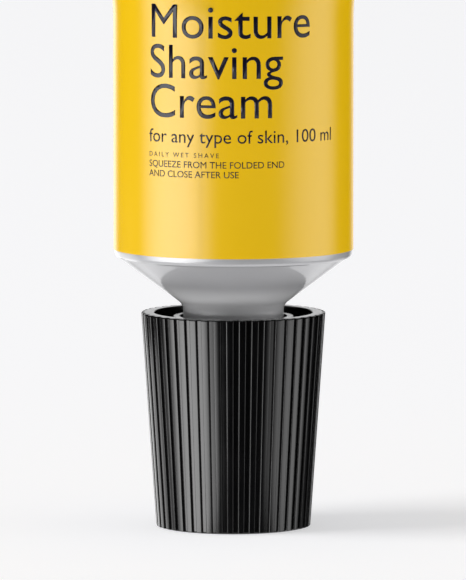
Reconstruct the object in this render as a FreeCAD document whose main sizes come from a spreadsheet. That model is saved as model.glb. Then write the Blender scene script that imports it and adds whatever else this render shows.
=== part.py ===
import FreeCAD, Part
import Sketcher
import os
import re

# A collapsible aluminium tube of shaving cream, standing upside down on its screw cap.
# The origin is the middle of the cap's flat closed end, on the surface that it stands on.
# +Z runs up the tube, -Y is its front, and the folded end lies along X. Millimetres.

SIZES = {
    # cap shell, a tapered cup: open rim up, closed end down
    "cap_height": 31.4,
    "cap_foot_radius": 10.92,
    "cap_rim_radius": 13.06,
    "cap_rim_bore": 11.58,
    "cap_wall": 1.5,
    "cap_floor": 1.8,
    "cap_dish_radius": 9.6,
    "cap_dish_depth": 0.5,
    "cap_bevel": 0.3,
    "boss_radius": 7.5,
    "boss_top": 8.0,
    "boss_wall": 1.2,
    # grip ribs round the shell, steep sided; the land and the phase are in degrees
    "rib_count": 45,
    "rib_depth": 0.36,
    "rib_land": 4.56,
    "rib_slope": 0.05,
    "rib_bottom": 0.12,
    "rib_phase": 3.72,
    # threaded sleeve inside the shell
    "sleeve_top": 30.85,
    "sleeve_radius": 8.8,
    "sleeve_mouth": 7.85,
    "sleeve_mouth_depth": 1.5,
    "sleeve_bore": 7.6,
    "sleeve_thread_radius": 6.95,
    "seat_bottom": 20.2,
    "seat_top": 21.7,
    # sealing disc
    "liner_radius": 7.2,
    "liner_thickness": 1.35,
    "liner_gap": 0.05,
    # right-hand thread between neck and sleeve
    "thread_pitch": 2.0,
    "thread_root_width": 1.1,
    "thread_crest_width": 0.4,
    "neck_thread_start": 24.4,
    "neck_thread_rise": 4.2,
    "sleeve_thread_start": 23.4,
    "sleeve_thread_rise": 5.0,
    # neck and shoulder of the tube
    "mouth_level": 23.2,
    "neck_bore": 4.3,
    "neck_root_radius": 6.7,
    "neck_crest_radius": 7.3,
    "collar_radius": 7.36,
    "collar_bottom": 29.9,
    "collar_top": 32.4,
    "collar_flare": 0.3,
    "collar_flare_rise": 0.55,
    "cone_low_radius": 8.57,
    "cone_low": 33.55,
    "cone_high_radius": 16.6,
    "cone_high": 39.4,
    "shoulder_edge": 40.6,
    "shoulder_wall": 0.7,
    "roll_low_inset": 0.5,
    "roll_low_drop": 1.05,
    "roll_high_inset": 0.2,
    "roll_high_drop": 0.7,
    # sleeve of the tube, round and then pressed flat towards the fold
    "tube_radius": 17.5,
    "tube_wall": 0.2,
    "coat": 0.1,
    "coat_bottom": 40.7,
    "press_start": 75.0,
    "flatten_power": 1.3,
    "spread_power": 1.7,
    "fold_bottom": 180.0,
    "fold_height": 5.6,
    "fold_thickness": 1.3,
    "fold_half_width": 27.4,
    "fold_step": 0.05,
    "fold_corner": 0.35,
    "fold_overrun": 1.0,
    # latex band inside the folded end
    "band_thickness": 0.3,
    "band_half_width": 18.0,
    "band_bottom": 176.5,
    "band_height": 6.0,
    "band_gap": 0.1,
    # cream, kept just clear of the metal
    "cream_gap": 0.3,
    "cream_bottom": 35.6,
    "cream_neck_radius": 7.2,
    "cream_shoulder_inset": 1.6,
    "cream_shoulder_rise": 2.0,
    "cream_straight_rise": 2.0,
}

# How far along the pressed part each cross-section lies, from round (0) to flat (1).
PRESS_STEPS = (0.0, 0.08, 0.22, 0.4, 0.6, 0.8, 0.93, 1.0)
FULL_TURN = 360

doc = FreeCAD.newDocument("shaving_cream_tube")
sheet = doc.addObject("Spreadsheet::Sheet", "Sizes")
for row, (alias, size) in enumerate(SIZES.items(), start=1):
    sheet.set(f"A{row}", alias)
    sheet.set(f"B{row}", str(size))
    sheet.setAlias(f"B{row}", alias)
doc.recompute()


def sized(expression):
    """Write the sheet's name before every alias in an expression."""
    return re.sub("[a-z_]+", lambda word: "Sizes." * (word[0] in SIZES) + word[0], expression)


def number(expression):
    """The value that an expression has now."""
    found = sheet.evalExpression(sized(expression))
    return float(getattr(found, "Value", found))


def bind(thing, prop, expression):
    thing.setExpression(prop, sized(expression))


def new_body(name):
    return doc.addObject("PartDesign::Body", name)


def origin_item(body, role):
    return next(item for item in body.Origin.OriginFeatures if item.Role == role)


def sketch_on(body, name, role, height=None):
    """A sketch on one of the body's own planes, lifted to a height if one is given."""
    sketch = body.newObject("Sketcher::SketchObject", name)
    sketch.AttachmentSupport = [(origin_item(body, role), "")]
    sketch.MapMode = "FlatFace"
    if height is not None:
        bind(sketch, "AttachmentOffset.Base.z", height)
    return sketch


def outline(sketch, corners):
    """A closed outline of straight edges, with every corner's place bound to the sheet."""
    places = [FreeCAD.Vector(number(across), number(up), 0) for across, up in corners]
    count = len(corners)
    for i in range(count):
        sketch.addGeometry(Part.LineSegment(places[i], places[(i + 1) % count]), False)
    for i in range(count):
        sketch.addConstraint(Sketcher.Constraint("Coincident", i, 2, (i + 1) % count, 1))
    for i, (across, up) in enumerate(corners):
        place_corner(sketch, "DistanceX", i, across)
        place_corner(sketch, "DistanceY", i, up)


def place_corner(sketch, kind, edge, expression):
    """Hold the start of an edge at a distance from the sketch's origin."""
    held = Sketcher.Constraint(kind, -1, 1, edge, 1, number(expression))
    index = sketch.addConstraint(held)
    if expression != "0":
        bind(sketch, f"Constraints[{index}]", expression)


def revolve(body, name, corners):
    """Turn an outline, given as radius and height, once round the body's Z axis."""
    sketch = sketch_on(body, name + "Outline", "XZ_Plane")
    outline(sketch, corners)
    turned = body.newObject("PartDesign::Revolution", name)
    turned.Profile = (sketch, [""])
    turned.ReferenceAxis = (origin_item(body, "Z_Axis"), [""])
    turned.Angle = FULL_TURN
    return turned


def thread(body, name, root, crest, start, rise):
    """A right-hand helical ridge whose outline narrows from its root to its crest."""
    sketch = sketch_on(body, name + "Ridge", "XZ_Plane")
    outline(sketch, [
        (root, f"{start} - thread_root_width / 2"),
        (crest, f"{start} - thread_crest_width / 2"),
        (crest, f"{start} + thread_crest_width / 2"),
        (root, f"{start} + thread_root_width / 2"),
    ])
    ridge = body.newObject("PartDesign::AdditiveHelix", name)
    ridge.Profile = (sketch, [""])
    ridge.ReferenceAxis = (origin_item(body, "Z_Axis"), [""])
    ridge.Mode = "pitch-height-angle"
    bind(ridge, "Pitch", "thread_pitch")
    bind(ridge, "Height", rise)
    return ridge


def make_cap_shell():
    """The tapered cup: a conical wall, a dished floor and the ring that holds the sleeve."""
    body = new_body("CapShell")
    revolve(body, "Cup", [
        ("0", "cap_dish_depth"),
        ("cap_dish_radius", "cap_dish_depth"),
        ("cap_dish_radius + cap_dish_depth", "0"),
        ("cap_foot_radius - cap_bevel", "0"),
        ("cap_foot_radius", "cap_bevel"),
        ("cap_rim_radius", "cap_height - cap_bevel"),
        ("cap_rim_radius - cap_bevel", "cap_height"),
        ("cap_rim_bore", "cap_height"),
        ("cap_foot_radius - cap_wall", "cap_floor + cap_dish_depth"),
        ("boss_radius", "cap_floor + cap_dish_depth"),
        ("boss_radius", "boss_top - cap_bevel"),
        ("boss_radius - cap_bevel", "boss_top"),
        ("boss_radius - boss_wall", "boss_top"),
        ("boss_radius - boss_wall", "cap_floor + cap_dish_depth"),
        ("0", "cap_floor + cap_dish_depth"),
    ])
    ribs = make_ribs(body)
    body.Tip = ribs
    bind(body, "Placement.Rotation.Angle", "rib_phase")
    body.Label = "cap_shell"
    return body


def make_ribs(body):
    """One grip rib from the foot to the rim, repeated round the shell."""
    foot_section = rib_section(body, "RibFoot", "rib_bottom")
    rim_section = rib_section(body, "RibRim", "cap_height")
    rib = body.newObject("PartDesign::AdditiveLoft", "Rib")
    rib.Profile = (foot_section, [""])
    rib.Sections = [(rim_section, [""])]
    rib.Ruled = True
    doc.recompute()
    ring = body.newObject("PartDesign::PolarPattern", "Ribs")
    ring.Originals = [rib]
    ring.Axis = (origin_item(body, "Z_Axis"), [""])
    ring.Angle = FULL_TURN
    bind(ring, "Occurrences", "rib_count")
    return ring


def rib_section(body, name, level):
    """The rib's cross-section at one level: a land between two steep walls."""
    taper = "(cap_rim_radius - cap_foot_radius) / (cap_height - 2 * cap_bevel)"
    wall = f"(cap_foot_radius + ({level} - cap_bevel) * {taper})"
    half_land = f"({wall} * tan(rib_land / 2))"
    sketch = sketch_on(body, name, "XY_Plane", level)
    outline(sketch, [
        (f"{wall} - rib_depth", f"0 - {half_land} - rib_slope"),
        (f"{wall} + rib_depth", f"0 - {half_land}"),
        (f"{wall} + rib_depth", half_land),
        (f"{wall} - rib_depth", f"{half_land} + rib_slope"),
    ])
    return sketch


def make_cap_sleeve():
    """The threaded sleeve: a skirt over the shell's ring, a seat for the liner, a thread."""
    body = new_body("CapSleeve")
    foot = "cap_floor + cap_dish_depth"
    revolve(body, "Sleeve", [
        ("boss_radius", foot),
        ("sleeve_radius - cap_bevel", foot),
        ("sleeve_radius", f"{foot} + cap_bevel"),
        ("sleeve_radius", "sleeve_top - cap_bevel / 2"),
        ("sleeve_radius - cap_bevel / 2", "sleeve_top"),
        ("sleeve_mouth", "sleeve_top"),
        ("sleeve_mouth", "sleeve_top - sleeve_mouth_depth"),
        ("sleeve_bore", "sleeve_top - sleeve_mouth_depth - cap_bevel"),
        ("sleeve_bore", "seat_top"),
        ("0", "seat_top"),
        ("0", "seat_bottom"),
        ("boss_radius", "seat_bottom"),
    ])
    ridge = thread(body, "SleeveThread", "(sleeve_bore + coat)", "sleeve_thread_radius",
                   "sleeve_thread_start", "sleeve_thread_rise")
    body.Tip = ridge
    body.Label = "cap_sleeve"
    return body


def make_cap_liner():
    """The foam disc that the mouth of the tube closes against."""
    disc = doc.addObject("Part::Cylinder", "LinerDisc")
    bind(disc, "Radius", "liner_radius")
    bind(disc, "Height", "liner_thickness")
    bind(disc, "Placement.Base.z", "seat_top + liner_gap")
    disc.Label = "cap_liner"
    return disc


def make_metal_end():
    """Neck, thread, shoulder and the round part of the sleeve, turned as one piece."""
    body = new_body("MetalEnd")
    skin = "(tube_radius - coat)"
    revolve(body, "Turned", [
        ("neck_bore", "mouth_level"),
        ("neck_root_radius - cap_bevel", "mouth_level"),
        ("neck_root_radius", "mouth_level + cap_bevel"),
        ("neck_root_radius", "collar_bottom - cap_bevel"),
        ("collar_radius", "collar_bottom"),
        ("collar_radius", "collar_top"),
        ("collar_radius + collar_flare", "collar_top + collar_flare_rise"),
        ("cone_low_radius", "cone_low"),
        ("cone_high_radius", "cone_high"),
        ("tube_radius - roll_low_inset", "shoulder_edge - roll_low_drop"),
        ("tube_radius - roll_high_inset", "shoulder_edge - roll_high_drop"),
        (skin, "shoulder_edge"),
        (skin, "press_start"),
        (f"{skin} - tube_wall", "press_start"),
        (f"{skin} - tube_wall", "shoulder_edge + shoulder_wall"),
        ("cone_high_radius - shoulder_wall / 2", "cone_high + shoulder_wall"),
        ("cone_low_radius - shoulder_wall", "cone_low + shoulder_wall"),
        ("neck_bore", "collar_top + shoulder_wall"),
    ])
    ridge = thread(body, "NeckThread", "(neck_root_radius - coat)", "neck_crest_radius",
                   "neck_thread_start", "neck_thread_rise")
    body.Tip = ridge
    return body


def pressed_section(name, step, inset):
    """An oval of the sleeve's own circumference, flatter the nearer it is to the fold."""
    level = f"press_start + (fold_bottom - press_start) * {step}"
    flat = f"{step} ^ flatten_power"
    narrowing = "(tube_radius + fold_step - fold_thickness / 2)"
    spread = "(fold_half_width - fold_step - tube_radius)"
    oval = doc.addObject("Part::Ellipse", name)
    spread_so_far = f"(1 - (1 - {flat}) ^ spread_power)"
    bind(oval, "MajorRadius", f"tube_radius + {spread} * {spread_so_far} - {inset}")
    bind(oval, "MinorRadius", f"tube_radius - {narrowing} * {flat} - {inset}")
    bind(oval, "Placement.Base.z", level)
    return oval


def pressed_solid(name, inset, steps=PRESS_STEPS):
    """The solid between the round section and the fold, drawn in by an inset all round."""
    loft = doc.addObject("Part::Loft", name)
    loft.Sections = [
        pressed_section(f"{name}Section{i}", step, inset) for i, step in enumerate(steps)
    ]
    loft.Solid = True
    loft.Ruled = False
    return loft


def cut(name, base, tool):
    result = doc.addObject("Part::Cut", name)
    result.Base = base
    result.Tool = tool
    return result


def fuse(name, shapes):
    result = doc.addObject("Part::MultiFuse", name)
    result.Shapes = shapes
    return result


def fold_bar(name, inset, half_width):
    """The folded band at the end, a flat bar along X with its top edges turned over."""
    body = new_body(name)
    sketch = sketch_on(body, name + "Outline", "YZ_Plane")
    half = f"(fold_thickness / 2 - {inset})"
    top = f"(fold_bottom + fold_height - {inset})"
    outline(sketch, [
        (f"0 - {half}", "fold_bottom"),
        (half, "fold_bottom"),
        (half, f"{top} - fold_corner"),
        (f"{half} - fold_corner", top),
        (f"0 - {half} + fold_corner", top),
        (f"0 - {half}", f"{top} - fold_corner"),
    ])
    bar = body.newObject("PartDesign::Pad", name + "Bar")
    bar.Profile = (sketch, [""])
    bar.Midplane = True
    bind(bar, "Length", f"2 * {half_width}")
    return body


def slot_box(name, half_width, thickness, bottom, height):
    """An upright plate centred on the Z axis, wide along X and thin along Y."""
    plate = doc.addObject("Part::Box", name)
    bind(plate, "Length", f"2 * {half_width}")
    bind(plate, "Width", thickness)
    bind(plate, "Height", height)
    bind(plate, "Placement.Base.x", f"0 - {half_width}")
    bind(plate, "Placement.Base.y", f"0 - {thickness} / 2")
    bind(plate, "Placement.Base.z", bottom)
    return plate


def make_tube_body():
    """One piece of aluminium: threaded neck, shoulder, thin sleeve and folded end."""
    outer = pressed_solid("MetalOuter", "coat")
    inner = pressed_solid("MetalInner", "(coat + tube_wall)")
    wall = cut("MetalPressed", outer, inner)
    pocket = slot_box("FoldPocket", "(band_half_width + band_gap)", "(band_thickness + band_gap)",
                      "fold_bottom", "(band_bottom + band_height + band_gap - fold_bottom)")
    fold = cut("MetalFold", fold_bar("FoldCore", "coat", "(fold_half_width - coat)"), pocket)
    whole = fuse("TubeBody", [make_metal_end(), wall, fold])
    whole.Label = "tube_body"
    return whole


def make_enamel_coat():
    """The enamel: a thin skin from the rolled shoulder edge up and over the fold."""
    ring_body = new_body("CoatRound")
    revolve(ring_body, "CoatRing", [
        ("tube_radius - coat", "coat_bottom"),
        ("tube_radius - coat / 3", "coat_bottom"),
        ("tube_radius", "coat_bottom + coat"),
        ("tube_radius", "press_start"),
        ("tube_radius - coat", "press_start"),
    ])
    pressed = cut("CoatPressed", pressed_solid("CoatOuter", "0"), pressed_solid("CoatInner", "coat"))
    fold = cut("CoatFold", fold_bar("CoatBar", "0", "fold_half_width"),
               fold_bar("CoatBarCore", "coat", "(fold_half_width + fold_overrun)"))
    whole = fuse("EnamelCoat", [ring_body, pressed, fold])
    whole.Label = "enamel_coat"
    return whole


def make_end_seal_band():
    """The strip of latex that seals the tube, caught between the walls at the fold."""
    band = slot_box("SealBand", "band_half_width", "band_thickness", "band_bottom", "band_height")
    band.Label = "end_seal_band"
    return band


def make_cream():
    """The cream that fills the sleeve, a hair's breadth clear of the metal."""
    gap = "(coat + tube_wall + cream_gap)"
    body = new_body("CreamRound")
    revolve(body, "CreamTurned", [
        ("0", "cream_bottom"),
        ("cream_neck_radius", "cream_bottom"),
        ("tube_radius - cream_shoulder_inset", "cone_high + cream_shoulder_rise"),
        (f"tube_radius - {gap}", "shoulder_edge + cream_straight_rise"),
        (f"tube_radius - {gap}", "press_start"),
        ("0", "press_start"),
    ])
    whole = fuse("Cream", [body, pressed_solid("CreamPressed", gap, PRESS_STEPS[:-1])])
    whole.Label = "cream"
    return whole


def check_document():
    """Stop before anything is written if an object has failed."""
    for item in doc.Objects:
        if "Invalid" in item.State or "Error" in item.State:
            raise RuntimeError(f"{item.Name} has failed: {item.State}")


def write_step(part):
    if part.Shape.isNull() or not part.Shape.isValid():
        raise RuntimeError(f"{part.Label} has no valid shape")
    part.Shape.exportStep(f"parts/{part.Label}.step")
    box = part.Shape.BoundBox
    print(f"{part.Label}: {len(part.Shape.Solids)} solid, {part.Shape.Volume:.1f} mm3,"
          f" z {box.ZMin:.2f} to {box.ZMax:.2f}")


makers = (make_cap_shell, make_cap_sleeve, make_cap_liner, make_tube_body,
          make_enamel_coat, make_end_seal_band, make_cream)
sub_parts = [make() for make in makers]
doc.recompute()
check_document()
os.makedirs("parts", exist_ok=True)
for sub_part in sub_parts:
    write_step(sub_part)
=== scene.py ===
import bpy
import bmesh
import math
from mathutils import Matrix, Vector, noise


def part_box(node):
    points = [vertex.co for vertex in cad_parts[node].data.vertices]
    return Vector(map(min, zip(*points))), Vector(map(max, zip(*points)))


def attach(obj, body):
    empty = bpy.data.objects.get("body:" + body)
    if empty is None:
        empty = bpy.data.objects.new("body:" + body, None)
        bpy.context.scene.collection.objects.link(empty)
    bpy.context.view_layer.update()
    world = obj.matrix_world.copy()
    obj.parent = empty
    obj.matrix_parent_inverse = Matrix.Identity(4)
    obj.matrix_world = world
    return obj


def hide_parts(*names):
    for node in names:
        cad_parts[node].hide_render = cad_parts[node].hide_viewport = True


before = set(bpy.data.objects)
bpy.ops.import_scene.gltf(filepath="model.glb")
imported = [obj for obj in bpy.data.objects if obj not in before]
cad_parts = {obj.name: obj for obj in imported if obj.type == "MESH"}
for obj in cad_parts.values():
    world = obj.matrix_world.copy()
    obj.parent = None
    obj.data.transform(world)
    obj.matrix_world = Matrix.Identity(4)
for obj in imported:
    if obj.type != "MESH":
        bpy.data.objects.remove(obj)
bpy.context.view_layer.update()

# The cap's outer shell: one black moulding of polypropylene, a tapered cup whose rim is up
# and whose flat closed end is down. 45 steep-sided grip ribs run from its foot to the rim,
# and a low ring on its floor holds the threaded sleeve.

MM = 0.001
FULL_TURN = 2 * math.pi
cap_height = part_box("cap_shell")[1].z
foot_radius = 10.92 * MM
rim_radius = 13.06 * MM
rim_bore = 11.58 * MM
cap_bevel = 0.3 * MM
floor_top = 2.3 * MM
floor_fillet = 0.5 * MM
foot_wall = 1.5 * MM
dish_depth = 0.5 * MM
dish_radius = 9.6 * MM
standing_radius = 10.1 * MM
fine_rounding = 0.1 * MM
ring_outside = 7.5 * MM
ring_inside = 6.3 * MM
ring_high = 8.0 * MM
inner_rounding = 0.15 * MM
rib_count = 45
rib_depth = 0.36 * MM
rib_low = 0.12 * MM
rib_high = cap_height - 0.01 * MM
rib_split = cap_height / 2
rib_land = math.radians(4.56)
rib_slope = 0.03 * MM
rib_phase = math.radians(3.72)
rib_rounding = 0.11 * MM
rim_rounding = 0.2 * MM


def ring_edges(bm, radius, height):
    """The edges of the ring that a profile corner has swept."""
    near = 1e-6
    swept = {v for v in bm.verts
             if abs(v.co.z - height) < near and abs(v.co.xy.length - radius) < near}
    return [e for e in bm.edges if e.verts[0] in swept and e.verts[1] in swept]


def turn(bm, corners, sides, closed=False):
    """Spin an outline round Z. A corner is (radius, height) or (radius, height, rounding)."""
    chain = [bm.verts.new((corner[0], 0, corner[1])) for corner in corners]
    wires = [bm.edges.new(pair) for pair in zip(chain, chain[1:])]
    if closed:
        wires.append(bm.edges.new((chain[-1], chain[0])))
    bmesh.ops.spin(bm, geom=chain + wires, cent=(0, 0, 0), axis=(0, 0, 1),
                   angle=FULL_TURN, steps=sides, use_merge=True)
    bmesh.ops.remove_doubles(bm, verts=bm.verts[:], dist=1e-7)
    for corner in corners:
        if len(corner) == 3:
            bmesh.ops.bevel(bm, geom=ring_edges(bm, corner[0], corner[1]), offset=corner[2],
                            segments=5, profile=0.5, affect="EDGES", material=-1)
    bmesh.ops.recalc_face_normals(bm, faces=bm.faces[:])


def finished(bm, name, body, sharp=35.0):
    """Turn a bmesh into a smooth-shaded piece that rides on a body."""
    mesh = bpy.data.meshes.new(name)
    bm.to_mesh(mesh)
    bm.free()
    mesh.shade_smooth()
    mesh.set_sharp_from_angle(angle=math.radians(sharp))
    piece = bpy.data.objects.new(name, mesh)
    bpy.context.scene.collection.objects.link(piece)
    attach(piece, body)
    return piece


def wall_radius(height):
    """Radius of the tapered wall between the ribs."""
    climb = (height - cap_bevel) / (cap_height - 2 * cap_bevel)
    return foot_radius + climb * (rim_radius - foot_radius)


def sharp_edges(bm, above):
    """The sharp edges of a rib that stand proud of the wall and lie above a height."""
    sharp_angle = math.radians(60)
    return [e for e in bm.edges if e.calc_face_angle() > sharp_angle
            and all(v.co.x > wall_radius(v.co.z) and v.co.z > above for v in e.verts)]


def grip_rib(bm):
    """One tapered bar with a flat land, steep walls and a land rounded most at the rim."""
    bar = bmesh.ops.create_cube(bm, size=1.0)["verts"]
    for v in bar:
        height = rib_high if v.co.z > 0 else rib_low
        outer = v.co.x > 0
        radius = wall_radius(height) + (rib_depth if outer else -rib_depth)
        half = 0.5 * rib_land * wall_radius(height) + (0 if outer else 2 * rib_slope)
        v.co = Vector((radius, math.copysign(half, v.co.y), height))
    for above, rounding in ((rib_split, rim_rounding), (0, rib_rounding)):
        bmesh.ops.bevel(bm, geom=sharp_edges(bm, above), offset=rounding, segments=4,
                        profile=0.5, affect="EDGES", material=-1)


bm = bmesh.new()
grip_rib(bm)
bmesh.ops.rotate(bm, verts=bm.verts[:], cent=(0, 0, 0), matrix=Matrix.Rotation(rib_phase, 3, "Z"))
bmesh.ops.spin(bm, geom=bm.verts[:] + bm.edges[:] + bm.faces[:], cent=(0, 0, 0), axis=(0, 0, 1),
               angle=FULL_TURN * (rib_count - 1) / rib_count, steps=rib_count - 1,
               use_duplicate=True)
turn(bm, [
    (0, dish_depth),
    (dish_radius, dish_depth, inner_rounding),
    (standing_radius, 0, fine_rounding),
    (foot_radius, 0, cap_bevel),
    (rim_radius, cap_height, rim_rounding),
    (rim_bore, cap_height, inner_rounding),
    (foot_radius - foot_wall, floor_top, floor_fillet),
    (ring_outside, floor_top),
    (ring_outside, ring_high, rim_rounding),
    (ring_inside, ring_high, rim_rounding),
    (ring_inside, floor_top),
    (0, floor_top),
], sides=180)
cap_shell = finished(bm, "cap_shell_moulding", "cap")
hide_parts("cap_shell")


def principled(name):
    """A new node material, with its node tree and its shader."""
    material = bpy.data.materials.new(name)
    material.use_nodes = True
    return material, material.node_tree, material.node_tree.nodes["Principled BSDF"]


def moulded_grain():
    """Fine surface unevenness: a height for the bump and a cloudy mask for the gloss."""
    group = bpy.data.node_groups.new("surface_grain", "ShaderNodeTree")
    face = group.interface
    face.new_socket("Fine Scale", in_out="INPUT", socket_type="NodeSocketFloat")
    face.new_socket("Cloud Scale", in_out="INPUT", socket_type="NodeSocketFloat")
    face.new_socket("Height", in_out="OUTPUT", socket_type="NodeSocketFloat")
    face.new_socket("Clouds", in_out="OUTPUT", socket_type="NodeSocketFloat")
    nodes, links = group.nodes, group.links
    way_in = nodes.new("NodeGroupInput")
    way_out = nodes.new("NodeGroupOutput")
    place = nodes.new("ShaderNodeTexCoord")
    for scale, detail, output in (("Fine Scale", 4, "Height"), ("Cloud Scale", 2, "Clouds")):
        texture = nodes.new("ShaderNodeTexNoise")
        texture.inputs["Detail"].default_value = detail
        links.new(place.outputs["Object"], texture.inputs["Vector"])
        links.new(way_in.outputs[scale], texture.inputs["Scale"])
        links.new(texture.outputs["Fac"], way_out.inputs[output])
    return group


grain = moulded_grain()


def add_grain(tree, shader, fine, cloud, bump, gloss):
    """Give a material the fine grain. Fine and cloud are scales, bump is a depth in metres,
    and gloss is the range of roughness."""
    source = tree.nodes.new("ShaderNodeGroup")
    source.node_tree = grain
    source.inputs["Fine Scale"].default_value = fine
    source.inputs["Cloud Scale"].default_value = cloud
    raised = tree.nodes.new("ShaderNodeBump")
    raised.inputs["Distance"].default_value = bump
    tree.links.new(source.outputs["Height"], raised.inputs["Height"])
    tree.links.new(raised.outputs["Normal"], shader.inputs["Normal"])
    spread = tree.nodes.new("ShaderNodeMapRange")
    cloud_low, cloud_high = 0.3, 0.7
    spread.inputs["From Min"].default_value = cloud_low
    spread.inputs["From Max"].default_value = cloud_high
    spread.inputs["To Min"].default_value = gloss[0]
    spread.inputs["To Max"].default_value = gloss[1]
    tree.links.new(source.outputs["Clouds"], spread.inputs["Value"])
    tree.links.new(spread.outputs["Result"], shader.inputs["Roughness"])
    return source


def tint_by(tree, shader, mask, low, high):
    """Set the base colour between two tones by a mask."""
    blend = tree.nodes.new("ShaderNodeMix")
    blend.data_type = "RGBA"
    factor, first, second = blend.inputs[0], blend.inputs[6], blend.inputs[7]
    first.default_value = (*low, 1)
    second.default_value = (*high, 1)
    tree.links.new(mask, factor)
    tree.links.new(blend.outputs[2], shader.inputs["Base Color"])


black_plastic, tree, shader = principled("black_moulded_plastic")
source = add_grain(tree, shader, fine=9000, cloud=160, bump=0.003 * MM, gloss=(0.15, 0.19))
tint_by(tree, shader, source.outputs["Clouds"], low=(0.0015, 0.0015, 0.0017),
        high=(0.003, 0.003, 0.0033))
shader.inputs["IOR"].default_value = 1.57
cap_shell.data.materials.append(black_plastic)

# The cap's threaded sleeve: a second black moulding, pushed over the ring on the shell's
# floor. Its rim shows as a thin ring round the neck. Inside are the seat for the liner and
# a right-hand thread.

thread_pitch = 2.0 * MM
sleeve_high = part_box("cap_sleeve")[1]
sleeve_radius = sleeve_high.x
sleeve_bore = 7.6 * MM
mouth_bore = 7.85 * MM
mouth_depth = 1.5 * MM
mouth_taper = 0.3 * MM
seat_top = 21.7 * MM
seat_depth = 1.5 * MM
sleeve_thread_crest = 6.95 * MM
sleeve_thread_low = 23.4 * MM
sleeve_thread_rise = 5.0 * MM
thread_sink = 0.1 * MM


def helical_ridge(bm, root, crest, start, rise):
    """Sweep a ridge's outline up a helix by spinning it while it climbs."""
    half_root = 0.55 * MM
    half_crest = 0.2 * MM
    steps_per_turn = 72
    outline = ((root, -half_root), (crest, -half_crest), (crest, half_crest), (root, half_root))
    section = bm.faces.new([bm.verts.new((radius, 0, start + up)) for radius, up in outline])
    turns = rise / thread_pitch
    steps = round(turns * steps_per_turn)
    bmesh.ops.spin(bm, geom=[section, *section.verts, *section.edges], cent=(0, 0, 0),
                   axis=(0, 0, 1), dvec=(0, 0, rise / steps), angle=FULL_TURN * turns, steps=steps)
    bmesh.ops.recalc_face_normals(bm, faces=bm.faces[:])


bm = bmesh.new()
turn(bm, [
    (ring_outside, floor_top),
    (sleeve_radius, floor_top, rim_rounding),
    (sleeve_radius, sleeve_high.z, inner_rounding),
    (mouth_bore, sleeve_high.z, fine_rounding),
    (mouth_bore, sleeve_high.z - mouth_depth),
    (sleeve_bore, sleeve_high.z - mouth_depth - mouth_taper),
    (sleeve_bore, seat_top),
    (0, seat_top),
    (0, seat_top - seat_depth),
    (ring_outside, seat_top - seat_depth),
], sides=144, closed=True)
helical_ridge(bm, sleeve_bore + thread_sink, sleeve_thread_crest, sleeve_thread_low,
              sleeve_thread_rise)
cap_sleeve = finished(bm, "cap_sleeve_moulding", "cap")
cap_sleeve.data.materials.append(black_plastic)
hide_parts("cap_sleeve")

# The liner: a disc punched from white foam sheet, loose on the seat of the sleeve. The
# mouth of the tube closes against it.


def finish_node(name, material):
    """Give a CAD node its finish."""
    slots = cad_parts[name].material_slots
    for slot in slots:
        slot.material = material
    if not slots:
        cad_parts[name].data.materials.append(material)


white_foam, tree, shader = principled("white_foam")
source = add_grain(tree, shader, fine=3200, cloud=300, bump=0.05 * MM, gloss=(0.75, 0.9))
tint_by(tree, shader, source.outputs["Height"], low=(0.78, 0.78, 0.75), high=(0.88, 0.88, 0.86))
finish_node("cap_liner", white_foam)

# The tube's metal: one slug of aluminium, impact extruded into the neck, shoulder and thin
# sleeve, then threaded. It is left bare and bright, and the enamel hides it above the
# rolled edge of the shoulder.

tube_radius = 17.5 * MM
coat_depth = 0.1 * MM
metal_depth = 0.2 * MM
metal_radius = tube_radius - coat_depth
coat_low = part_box("enamel_coat")[0].z
mouth_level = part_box("tube_body")[0].z
soft_rounding = 0.3 * MM
neck_root = 6.7 * MM
neck_crest = 7.3 * MM
neck_bore = 4.3 * MM
bore_high = 33.1 * MM
neck_thread_low = 24.4 * MM
neck_thread_rise = 4.2 * MM
neck_high = 29.6 * MM
collar = 7.36 * MM
collar_low = 29.9 * MM
collar_high = 32.55 * MM
collar_fillet = 0.75 * MM
shoulder_radius = 16.6 * MM
shoulder_high = 39.4 * MM
crease_rounding = 0.03 * MM
roll_radius = 17.26 * MM
roll_low = 39.62 * MM
roll_rounding = 0.4 * MM
roll_high = 40.6 * MM
funnel_radius = 8.2 * MM
funnel_low = 34.2 * MM
funnel_rounding = 0.5 * MM
inner_corner = coat_low + 0.8 * MM
hidden_top = 60 * MM

bm = bmesh.new()
turn(bm, [
    (neck_bore, mouth_level, rim_rounding),
    (neck_root, mouth_level, soft_rounding),
    (neck_root, neck_high, inner_rounding),
    (collar, collar_low, fine_rounding),
    (collar, collar_high, collar_fillet),
    (shoulder_radius, shoulder_high, crease_rounding),
    (roll_radius, roll_low, roll_rounding),
    (metal_radius, roll_high, fine_rounding),
    (metal_radius, hidden_top),
    (metal_radius - metal_depth, hidden_top),
    (metal_radius - metal_depth, inner_corner, soft_rounding),
    (funnel_radius, funnel_low, funnel_rounding),
    (neck_bore, bore_high, soft_rounding),
], sides=240, closed=True)
helical_ridge(bm, neck_root - thread_sink, neck_crest, neck_thread_low, neck_thread_rise)
tube_metal = finished(bm, "tube_metal", "tube", sharp=50.0)
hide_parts("tube_body")


def smooth_step(tree, source, low, high):
    """A soft change from 0 to 1 as the source goes from low to high."""
    step = tree.nodes.new("ShaderNodeMapRange")
    step.interpolation_type = "SMOOTHSTEP"
    step.inputs["From Min"].default_value = low
    step.inputs["From Max"].default_value = high
    tree.links.new(source, step.inputs["Value"])
    return step.outputs["Result"]


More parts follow.
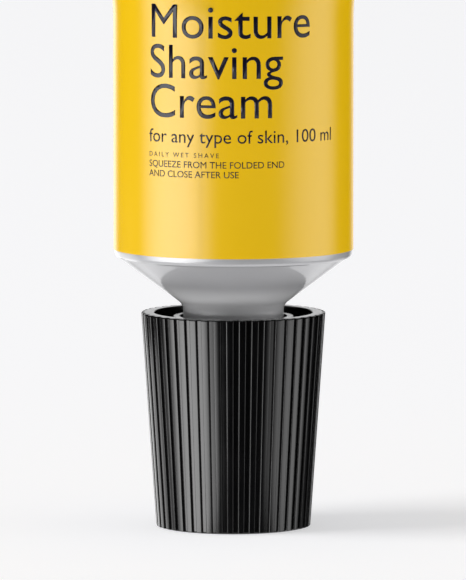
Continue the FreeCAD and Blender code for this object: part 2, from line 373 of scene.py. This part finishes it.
def turning_lines(tree, shader, place, depth):
    """Concentric lines left by the die: fine rings that follow height, in a second bump."""
    rings = tree.nodes.new("ShaderNodeTexWave")
    rings.wave_type = "BANDS"
    rings.bands_direction = "Z"
    rings.inputs["Scale"].default_value = 900
    rings.inputs["Distortion"].default_value = 6
    rings.inputs["Detail"].default_value = 3
    rings.inputs["Detail Scale"].default_value = 0.4
    tree.links.new(place, rings.inputs["Vector"])
    lines = tree.nodes.new("ShaderNodeBump")
    lines.inputs["Distance"].default_value = depth
    tree.links.new(rings.outputs["Fac"], lines.inputs["Height"])
    grain_bump = shader.inputs["Normal"].links[0].from_node
    tree.links.new(lines.outputs["Normal"], grain_bump.inputs["Normal"])


bare_aluminium, tree, shader = principled("bare_aluminium")
add_grain(tree, shader, fine=1500, cloud=110, bump=0.002 * MM, gloss=(0.36, 0.44))
place = tree.nodes.new("ShaderNodeTexCoord")
split = tree.nodes.new("ShaderNodeSeparateXYZ")
tree.links.new(place.outputs["Object"], split.inputs[0])
# Painted light and shade: the base colour is lighter low on the neck and darker up the shoulder cone,
# standing in for how the light falls there.
painted_neck_light = smooth_step(tree, split.outputs["Z"], low=33.6 * MM, high=36.2 * MM)
tint_by(tree, shader, painted_neck_light, low=(0.85, 0.85, 0.86), high=(0.40, 0.40, 0.41))
turning_lines(tree, shader, place.outputs["Object"], depth=0.0012 * MM)
shader.inputs["Metallic"].default_value = 0.35
shader.inputs["Coat Weight"].default_value = 1.0
shader.inputs["Coat Roughness"].default_value = 0.03
tube_metal.data.materials.append(bare_aluminium)

# The enamel: a thin golden yellow coat, rolled on the sleeve before it was filled. It starts
# at the rolled edge of the shoulder, follows the round sleeve, and goes with the metal where
# it was pressed flat, with shallow dents left by the pressing.

press_start = 75.0 * MM
fold_bottom = 180.0 * MM
coat_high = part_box("enamel_coat")[1]
fold_half_width = coat_high.x
fold_half_depth = 0.6 * MM
fold_margin = 0.05 * MM
sleeve_sides = 240
coat_lip = 0.06 * MM
round_levels = (coat_low + coat_lip, coat_low + 8 * MM, coat_low + 20 * MM, press_start)
pressed_rows = 90
pressed_length = fold_bottom - press_start
dent_depth = 0.35 * MM
dents_across = 70
dents_along = 26
dent_slant = 18


def half_sizes(height):
    """Half width and half depth of the sleeve at a height, at one circumference throughout."""
    along = max(0.0, (height - press_start) / pressed_length)
    flat = along ** 1.3
    spread = 1 - (1 - flat) ** 1.7
    half_width = tube_radius + (fold_half_width - fold_margin - tube_radius) * spread
    return half_width, tube_radius - (tube_radius - fold_half_depth) * flat


def dent(vertex):
    """Press a vertex inwards a little, more towards the fold, in long slanting hollows."""
    across, depth, height = vertex.co
    along = (height - press_start) / pressed_length
    if along <= 0.02:
        return
    ramp = math.sin(math.pi * min(1.0, along)) ** 0.8
    side = 1 if depth > 0 else -1
    place = Vector((across * dents_across + height * dent_slant, side * 3.0, height * dents_along))
    hollow = max(0.0, noise.noise(place) + 0.15)
    vertex.co.y -= side * min(dent_depth * hollow * ramp, abs(depth) / 2)


bm = bmesh.new()
bmesh.ops.create_circle(bm, cap_ends=False, radius=tube_radius, segments=sleeve_sides)
bmesh.ops.translate(bm, verts=bm.verts[:], vec=(0, 0, coat_low))
pressed_levels = [press_start + pressed_length * (i + 1) / pressed_rows for i in range(pressed_rows)]
rim = bm.edges[:]
wide, deep, level = tube_radius, tube_radius, coat_low
for height in (*round_levels, *pressed_levels):
    grown = bmesh.ops.extrude_edge_only(bm, edges=rim)["geom"]
    rim = [item for item in grown if isinstance(item, bmesh.types.BMEdge)]
    new_rim_verts = [item for item in grown if isinstance(item, bmesh.types.BMVert)]
    new_wide, new_deep = half_sizes(height)
    bmesh.ops.translate(bm, verts=new_rim_verts, vec=(0, 0, height - level))
    bmesh.ops.scale(bm, verts=new_rim_verts, vec=(new_wide / wide, new_deep / deep, 1))
    wide, deep, level = new_wide, new_deep, height
for vertex in bm.verts:
    dent(vertex)
bmesh.ops.recalc_face_normals(bm, faces=bm.faces[:])
enamel = finished(bm, "enamel_sleeve", "tube", sharp=60.0)
wall = enamel.modifiers.new("coat", "SOLIDIFY")
wall.thickness = coat_depth
wall.offset = -1
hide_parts("enamel_coat")

yellow_enamel, tree, shader = principled("yellow_enamel")
source = add_grain(tree, shader, fine=5200, cloud=60, bump=0.0025 * MM, gloss=(0.19, 0.22))
tint_by(tree, shader, source.outputs["Clouds"], low=(0.68, 0.415, 0.0005), high=(0.72, 0.44, 0.001))
shader.inputs["IOR"].default_value = 1.56
enamel.data.materials.append(yellow_enamel)

# The folded end: the flattened sleeve, turned over twice and pinched. Its layers show at
# both ends of the fold, and its lower edge stands proud at the back.

layer = 0.3 * MM
layer_step = 0.43 * MM
fold_high = coat_high.z - layer / 2 - 0.02 * MM
fold_tail = 0.5 * MM
tucked_edge = 1.0 * MM
fold_rounding = 0.2 * MM
ripple_height = 0.02 * MM
ripple_length = 1.7 * MM


def long_edges(bm):
    """The edges that run the whole width of the fold."""
    return [e for e in bm.edges if abs(e.verts[0].co.x - e.verts[1].co.x) > fold_half_width]


bm = bmesh.new()
route = ((-layer_step, fold_bottom - fold_tail), (-layer_step, fold_high),
         (layer_step, fold_high), (layer_step, fold_bottom + fold_tail),
         (0, fold_bottom + fold_tail), (0, fold_high - tucked_edge))
chain = [bm.verts.new((-fold_half_width, y, z)) for y, z in route]
wires = [bm.edges.new(pair) for pair in zip(chain, chain[1:])]
grown = bmesh.ops.extrude_edge_only(bm, edges=wires)["geom"]
far_side = [item for item in grown if isinstance(item, bmesh.types.BMVert)]
bmesh.ops.translate(bm, verts=far_side, vec=(2 * fold_half_width, 0, 0))
turned_over = [e for e in long_edges(bm) if len(e.link_faces) == 2]
bmesh.ops.bevel(bm, geom=turned_over, offset=fold_rounding, segments=4, profile=0.5,
                affect="EDGES", material=-1)
bmesh.ops.subdivide_edges(bm, edges=long_edges(bm), cuts=60)
for vertex in bm.verts:
    vertex.co.y += ripple_height * math.sin(vertex.co.x / ripple_length)
bmesh.ops.recalc_face_normals(bm, faces=bm.faces[:])
fold = finished(bm, "folded_end", "tube")
sheet_wall = fold.modifiers.new("sheet", "SOLIDIFY")
sheet_wall.thickness = layer
sheet_wall.offset = 0
fold.data.materials.append(yellow_enamel)

# The sealing band and the cream are inside the closed tube: a strip of dried latex, and a
# soft white paste that shows only through the open neck.

latex, tree, shader = principled("dried_latex")
source = add_grain(tree, shader, fine=1800, cloud=200, bump=0.03 * MM, gloss=(0.5, 0.65))
tint_by(tree, shader, source.outputs["Clouds"], low=(0.58, 0.52, 0.36), high=(0.68, 0.62, 0.46))
finish_node("end_seal_band", latex)

cream_paste, tree, shader = principled("cream_paste")
source = add_grain(tree, shader, fine=900, cloud=220, bump=0.1 * MM, gloss=(0.35, 0.5))
tint_by(tree, shader, source.outputs["Clouds"], low=(0.86, 0.86, 0.84), high=(0.92, 0.92, 0.91))
shader.inputs["Subsurface Weight"].default_value = 0.2
finish_node("cream", cream_paste)

# The print: one pass of near-black ink on the enamel, in plain generic words. It is left
# aligned and wraps round the front.

ink_left = -13.4 * MM
ink_lift = 0.012 * MM
ink_depth = 0.01 * MM
title_size = 7.0 * MM
subtitle_size = 2.7 * MM
spaced_size = 0.95 * MM
note_size = 1.35 * MM


def wrap_flat_print(bm, left, baseline):
    """Cut flat print into narrow strips and lay it round the front of the sleeve."""
    reach = max(v.co.x for v in bm.verts)
    strip = 0.4 * MM
    for i in range(1, math.ceil(reach / strip)):
        bmesh.ops.bisect_plane(bm, geom=bm.verts[:] + bm.edges[:] + bm.faces[:],
                               plane_co=(i * strip, 0, 0), plane_no=(1, 0, 0))
    radius = tube_radius + ink_lift
    for vertex in bm.verts:
        angle = (left + vertex.co.x) / tube_radius
        height = baseline + vertex.co.y
        vertex.co = Vector((radius * math.sin(angle), -radius * math.cos(angle), height))


def print_words(bm, words, left, baseline, size, spacing=1.0):
    """Set a line of words in the plain built-in face and lay it on the sleeve."""
    curve = bpy.data.curves.new("words", "FONT")
    curve.body = words
    curve.size = size
    curve.space_character = spacing
    curve.resolution_u = 6
    setting = bpy.data.objects.new("words", curve)
    flat = bpy.data.meshes.new_from_object(setting)
    line = bmesh.new()
    line.from_mesh(flat)
    wrap_flat_print(line, left, baseline)
    line.to_mesh(flat)
    line.free()
    bm.from_mesh(flat)
    bpy.data.meshes.remove(flat)
    bpy.data.objects.remove(setting)
    bpy.data.curves.remove(curve)


bm = bmesh.new()
print_words(bm, "Moisture", ink_left, 72.5 * MM, title_size)
print_words(bm, "Shaving", ink_left, 66.7 * MM, title_size)
print_words(bm, "Cream", ink_left, 61.0 * MM, title_size)
print_words(bm, "for any type of skin, 100 ml", ink_left, 57.4 * MM, subtitle_size)
print_words(bm, "DAILY WET SHAVE", ink_left, 55.3 * MM, spaced_size, spacing=1.5)
print_words(bm, "SQUEEZE FROM THE FOLDED END", ink_left, 53.8 * MM, note_size)
print_words(bm, "AND CLOSE AFTER USE", ink_left, 52.4 * MM, note_size)
bmesh.ops.recalc_face_normals(bm, faces=bm.faces[:])
outward = sum(face.normal.xy.dot(face.calc_center_median().xy) for face in bm.faces)
if outward < 0:
    bmesh.ops.reverse_faces(bm, faces=bm.faces[:])
print_ink = finished(bm, "print_ink", "tube")
film = print_ink.modifiers.new("film", "SOLIDIFY")
film.thickness = ink_depth
film.offset = -1

dark_ink, tree, shader = principled("dark_ink")
source = add_grain(tree, shader, fine=5200, cloud=60, bump=0.0025 * MM, gloss=(0.30, 0.36))
tint_by(tree, shader, source.outputs["Clouds"], low=(0.003, 0.003, 0.012), high=(0.005, 0.005, 0.016))
print_ink.data.materials.append(dark_ink)

# The studio: a pale paper floor in a pale room. Soft boxes stand at the left, the right and
# the back, a strip lights the ribs from behind, a fill has no reflection, and a high light
# throws the shadow. The floor isn't seen in reflections.

floor_half = 6.0
paper_tone = (0.66, 0.66, 0.668, 1)
floor_glow = 0.77
lit_height = 50 * MM

bm = bmesh.new()
bmesh.ops.create_grid(bm, x_segments=1, y_segments=1, size=floor_half)
floor_mesh = bpy.data.meshes.new("studio_floor")
bm.to_mesh(floor_mesh)
bm.free()
floor = bpy.data.objects.new("studio_floor", floor_mesh)
bpy.context.scene.collection.objects.link(floor)
floor_paper, tree, shader = principled("floor_paper")
shader.inputs["Base Color"].default_value = paper_tone
shader.inputs["Roughness"].default_value = 0.9
shader.inputs["Specular IOR Level"].default_value = 0.0
shader.inputs["Emission Color"].default_value = paper_tone
shader.inputs["Emission Strength"].default_value = floor_glow
floor_mesh.materials.append(floor_paper)
floor.visible_glossy = False
floor.visible_shadow = False


def combine(tree, operation, one, other):
    """Two masks brought together by one operation."""
    node = tree.nodes.new("ShaderNodeMath")
    node.operation = operation
    tree.links.new(one, node.inputs[0])
    tree.links.new(other, node.inputs[1])
    return node.outputs[0]


def fade_sides(data, full):
    """Dim a soft box towards its left and right ends, as a graded diffuser does."""
    data.use_nodes = True
    tree = data.node_tree
    across = tree.nodes.new("ShaderNodeSeparateXYZ")
    tree.links.new(tree.nodes.new("ShaderNodeNewGeometry").outputs["Parametric"], across.inputs[0])
    from_left = smooth_step(tree, across.outputs["X"], low=0.0, high=full[0])
    from_right = smooth_step(tree, across.outputs["X"], low=1.0, high=full[1])
    graded = combine(tree, "MULTIPLY", from_left, from_right)
    tree.links.new(graded, tree.nodes["Emission"].inputs["Strength"])


def soft_light(name, azimuth, elevation, width, tall, radiance, full=None, distance=8.0):
    """A soft box aimed at the tube. Azimuth is from the front, positive to the right; width
    and tall are the angles in degrees that it fills, seen from the tube. Its brightness
    fades to both sides of the stretch named by full; without one it has no reflection."""
    data = bpy.data.lights.new(name, "AREA")
    data.shape = "RECTANGLE"
    data.size = 2 * distance * math.tan(math.radians(width) / 2)
    data.size_y = 2 * distance * math.tan(math.radians(tall) / 2)
    data.energy = radiance * math.pi * data.size * data.size_y
    lamp = bpy.data.objects.new(name, data)
    bpy.context.scene.collection.objects.link(lamp)
    side, up = math.radians(azimuth), math.radians(elevation)
    away = Vector((math.sin(side) * math.cos(up), -math.cos(side) * math.cos(up), math.sin(up)))
    lamp.location = Vector((0, 0, lit_height)) + distance * away
    lamp.rotation_euler = (-away).to_track_quat("-Z", "Y").to_euler()
    lamp.visible_glossy = full is not None
    if full is not None:
        fade_sides(data, full)


soft_light("left_softbox", azimuth=-59, elevation=-13, width=90, tall=28, radiance=5.5,
           full=(0.46, 0.56))
soft_light("right_softbox", azimuth=80, elevation=-11, width=84, tall=24, radiance=2.1,
           full=(0.5, 0.6))
soft_light("back_softbox", azimuth=-158, elevation=-6, width=30, tall=24, radiance=1.2,
           full=(0.5, 0.5))
soft_light("cap_strip", azimuth=-130, elevation=-23, width=56, tall=28, radiance=1.5,
           full=(0.3, 0.7), distance=0.4)
soft_light("right_fill", azimuth=84, elevation=-5, width=40, tall=36, radiance=4.1)
soft_light("shadow_softbox", azimuth=-76, elevation=56, width=22, tall=22, radiance=8.4)

room = bpy.data.worlds.new("studio_room")
room.use_nodes = True
tree = room.node_tree
direction = tree.nodes.new("ShaderNodeSeparateXYZ")
tree.links.new(tree.nodes.new("ShaderNodeTexCoord").outputs["Generated"], direction.inputs[0])
behind = smooth_step(tree, direction.outputs["Y"], low=0.86, high=0.98)
low_down = smooth_step(tree, direction.outputs["Z"], low=-0.2, high=-0.5)
straight_down = smooth_step(tree, direction.outputs["Z"], low=-0.45, high=-0.75)
to_the_side = smooth_step(tree, direction.outputs["Y"], low=0.3, high=0.8)
side_floor = combine(tree, "MULTIPLY", low_down, to_the_side)
shown = combine(tree, "MAXIMUM", behind, combine(tree, "MAXIMUM", side_floor, straight_down))
path = tree.nodes.new("ShaderNodeLightPath")


def choose(tree, by, plain, other):
    """One brightness for most rays and another for the rays that a path flag picks out."""
    pick = tree.nodes.new("ShaderNodeMix")
    factor, first, second = pick.inputs[0], pick.inputs[2], pick.inputs[3]
    for socket, value in ((first, plain), (second, other)):
        if isinstance(value, float):
            socket.default_value = value
        else:
            tree.links.new(value, socket)
    tree.links.new(by, factor)
    return pick.outputs[0]


room_fill = 0.3
paper_white = 0.93
brightness = choose(tree, path.outputs["Is Glossy Ray"], room_fill, shown)
brightness = choose(tree, path.outputs["Is Camera Ray"], brightness, paper_white)
room_light = tree.nodes["Background"]
room_light.inputs["Color"].default_value = (0.99, 0.99, 1.0, 1)
tree.links.new(brightness, room_light.inputs["Strength"])
room.cycles.sampling_method = "NONE"
bpy.context.scene.world = room
bpy.context.scene.view_settings.view_transform = "Standard"

# The camera: a long lens far off at the front, looking slightly down at the cap and the
# lower part of the sleeve.

camera_pitch = math.radians(5.58)
camera_distance = 1.3125
aim_height = 34.57 * MM
aim_side = -0.06 * MM
focal_length = 558.6
lens_data = bpy.data.cameras.new("camera")
lens_data.lens = focal_length
lens_data.sensor_width = 36
lens_data.clip_start = 0.01
camera = bpy.data.objects.new("camera", lens_data)
bpy.context.scene.collection.objects.link(camera)
camera.location = (aim_side, -camera_distance * math.cos(camera_pitch),
                   aim_height + camera_distance * math.sin(camera_pitch))
camera.rotation_euler = (math.pi / 2 - camera_pitch, 0, 0)
bpy.context.scene.camera = camera
